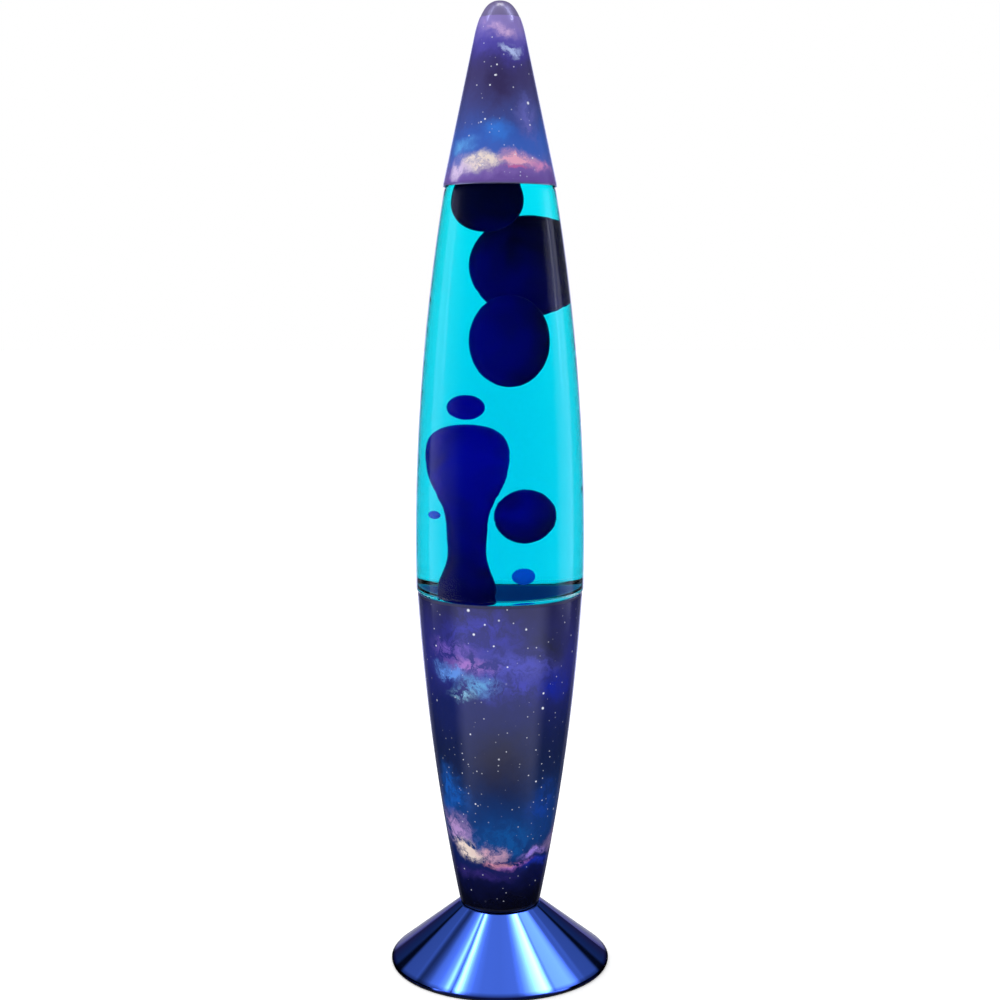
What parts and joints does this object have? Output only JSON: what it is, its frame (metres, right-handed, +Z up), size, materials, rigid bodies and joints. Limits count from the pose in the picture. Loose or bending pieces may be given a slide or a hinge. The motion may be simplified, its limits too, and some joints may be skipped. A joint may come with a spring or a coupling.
{
  "type": "lava lamp",
  "caption": "Rocket-shaped lava lamp: a glass globe of blue liquid and wax on a conical base with a reflector bulb, under a conical cap.",
  "frame": {"origin": "on the table, on the lamp's axis", "axes": "+Z up along the lamp, +Y to the back, where the cord bushing is, +X to the right seen from the front"},
  "size_m": [0.1004, 0.1004, 0.432],
  "materials": {
    "foot_plating": "bright plating with a blue tint",
    "rubber": "matte",
    "plate_steel": "zinc plated sheet",
    "zinc_steel": "zinc plated",
    "shell_metal": "spun, bright",
    "base_print": "printed night sky film, glossy",
    "cap_print": "printed night sky film, glossy",
    "holder_plastic": "moulded black phenolic",
    "brass": "pressed, bright",
    "solder": "soft, dull",
    "black_glass": "black glass",
    "bulb_cap_metal": "pressed",
    "bulb_glass": "clear front",
    "tungsten": "drawn wire",
    "globe_glass": "clear, polished",
    "coil_steel": "drawn wire",
    "wax": "navy wax in liquid",
    "liquid": "clear cyan liquid",
    "liner": "sealing foam",
    "crown_metal": "gold lacquered tinplate"
  },
  "bodies": {
    "base": {"foot_cone": "foot_plating", "foot_rubber_ring": "rubber", "base_plate": "plate_steel", "cord_bushing": "rubber", "base_shell": "shell_metal", "base_wrap": "base_print", "holder_bracket": "plate_steel", "threaded_rod": "zinc_steel", "lock_washer": "zinc_steel", "upper_nut": "zinc_steel", "lower_nut": "zinc_steel", "holder_body": "holder_plastic", "holder_rivets": "zinc_steel", "terminal_screws": "brass", "holder_screw_shell": "brass", "holder_contact": "brass"},
    "bulb_centre": {"bulb_contact": "solder"},
    "bulb": {"bulb_insulator": "black_glass", "bulb_screw_cap": "bulb_cap_metal", "bulb_envelope": "bulb_glass", "bulb_stem": "bulb_glass", "filament_supports": "zinc_steel", "bulb_filament": "tungsten"},
    "globe": {"globe_glass": "globe_glass", "heat_coil": "coil_steel", "wax_mass": "wax", "liquid": "liquid", "crown_liner": "liner", "crown_cap": "crown_metal"},
    "cap": {"cap_shell": "shell_metal", "cap_wrap": "cap_print"},
    "blob_1": {"wax_blob_1": "wax"},
    "blob_2": {"wax_blob_2": "wax"},
    "blob_3": {"wax_blob_3": "wax"},
    "blob_4": {"wax_blob_4": "wax"},
    "blob_5": {"wax_blob_5": "wax"},
    "blob_6": {"wax_blob_6": "wax"},
    "blob_7": {"wax_blob_7": "wax"}
  },
  "joints": [
    {"name": "globe_lift", "type": "slide", "parent": "base", "child": "globe", "axis": [0, 0, 1], "range_m": [0, 0.2]},
    {"name": "cap_lift", "type": "slide", "parent": "globe", "child": "cap", "axis": [0, 0, 1], "range_m": [0, 0.12]},
    {"name": "bulb_rise", "type": "slide", "parent": "base", "child": "bulb_centre", "axis": [0, 0, 1], "range_m": [0, 0.01411]},
    {"name": "bulb_turn", "type": "hinge", "parent": "bulb_centre", "child": "bulb", "pos_m": [0, 0, 0.05], "axis": [0, 0, 1], "range_deg": [0, 1800]},
    {"name": "blob_1_drift", "type": "slide", "parent": "globe", "child": "blob_1", "axis": [0, 0, 1], "range_m": [-0.006, 0], "deforming": ["liquid"]},
    {"name": "blob_2_drift", "type": "slide", "parent": "globe", "child": "blob_2", "axis": [0, 0, 1], "range_m": [-0.03, 0], "deforming": ["liquid"]},
    {"name": "blob_3_drift", "type": "slide", "parent": "globe", "child": "blob_3", "axis": [0, 0, 1], "range_m": [-0.004, 0.02], "deforming": ["liquid"]},
    {"name": "blob_4_drift", "type": "slide", "parent": "globe", "child": "blob_4", "axis": [-0.2791, 0.1595, 0.9469], "range_m": [0, 0.034], "deforming": ["liquid"]},
    {"name": "blob_5_drift", "type": "slide", "parent": "globe", "child": "blob_5", "axis": [0.27, 0, 0.9629], "range_m": [0, 0.038], "deforming": ["liquid"]},
    {"name": "blob_6_drift", "type": "slide", "parent": "globe", "child": "blob_6", "axis": [-0.3176, 0, 0.9482], "range_m": [0, 0.024], "deforming": ["liquid"]},
    {"name": "blob_7_drift", "type": "slide", "parent": "globe", "child": "blob_7", "axis": [0, 0, 1], "range_m": [-0.012, 0.009], "deforming": ["liquid"]}
  ],
  "couplings": [
    {"joint": "bulb_rise", "follows": "bulb_turn", "m_per_rad": 0.00044913}
  ]
}
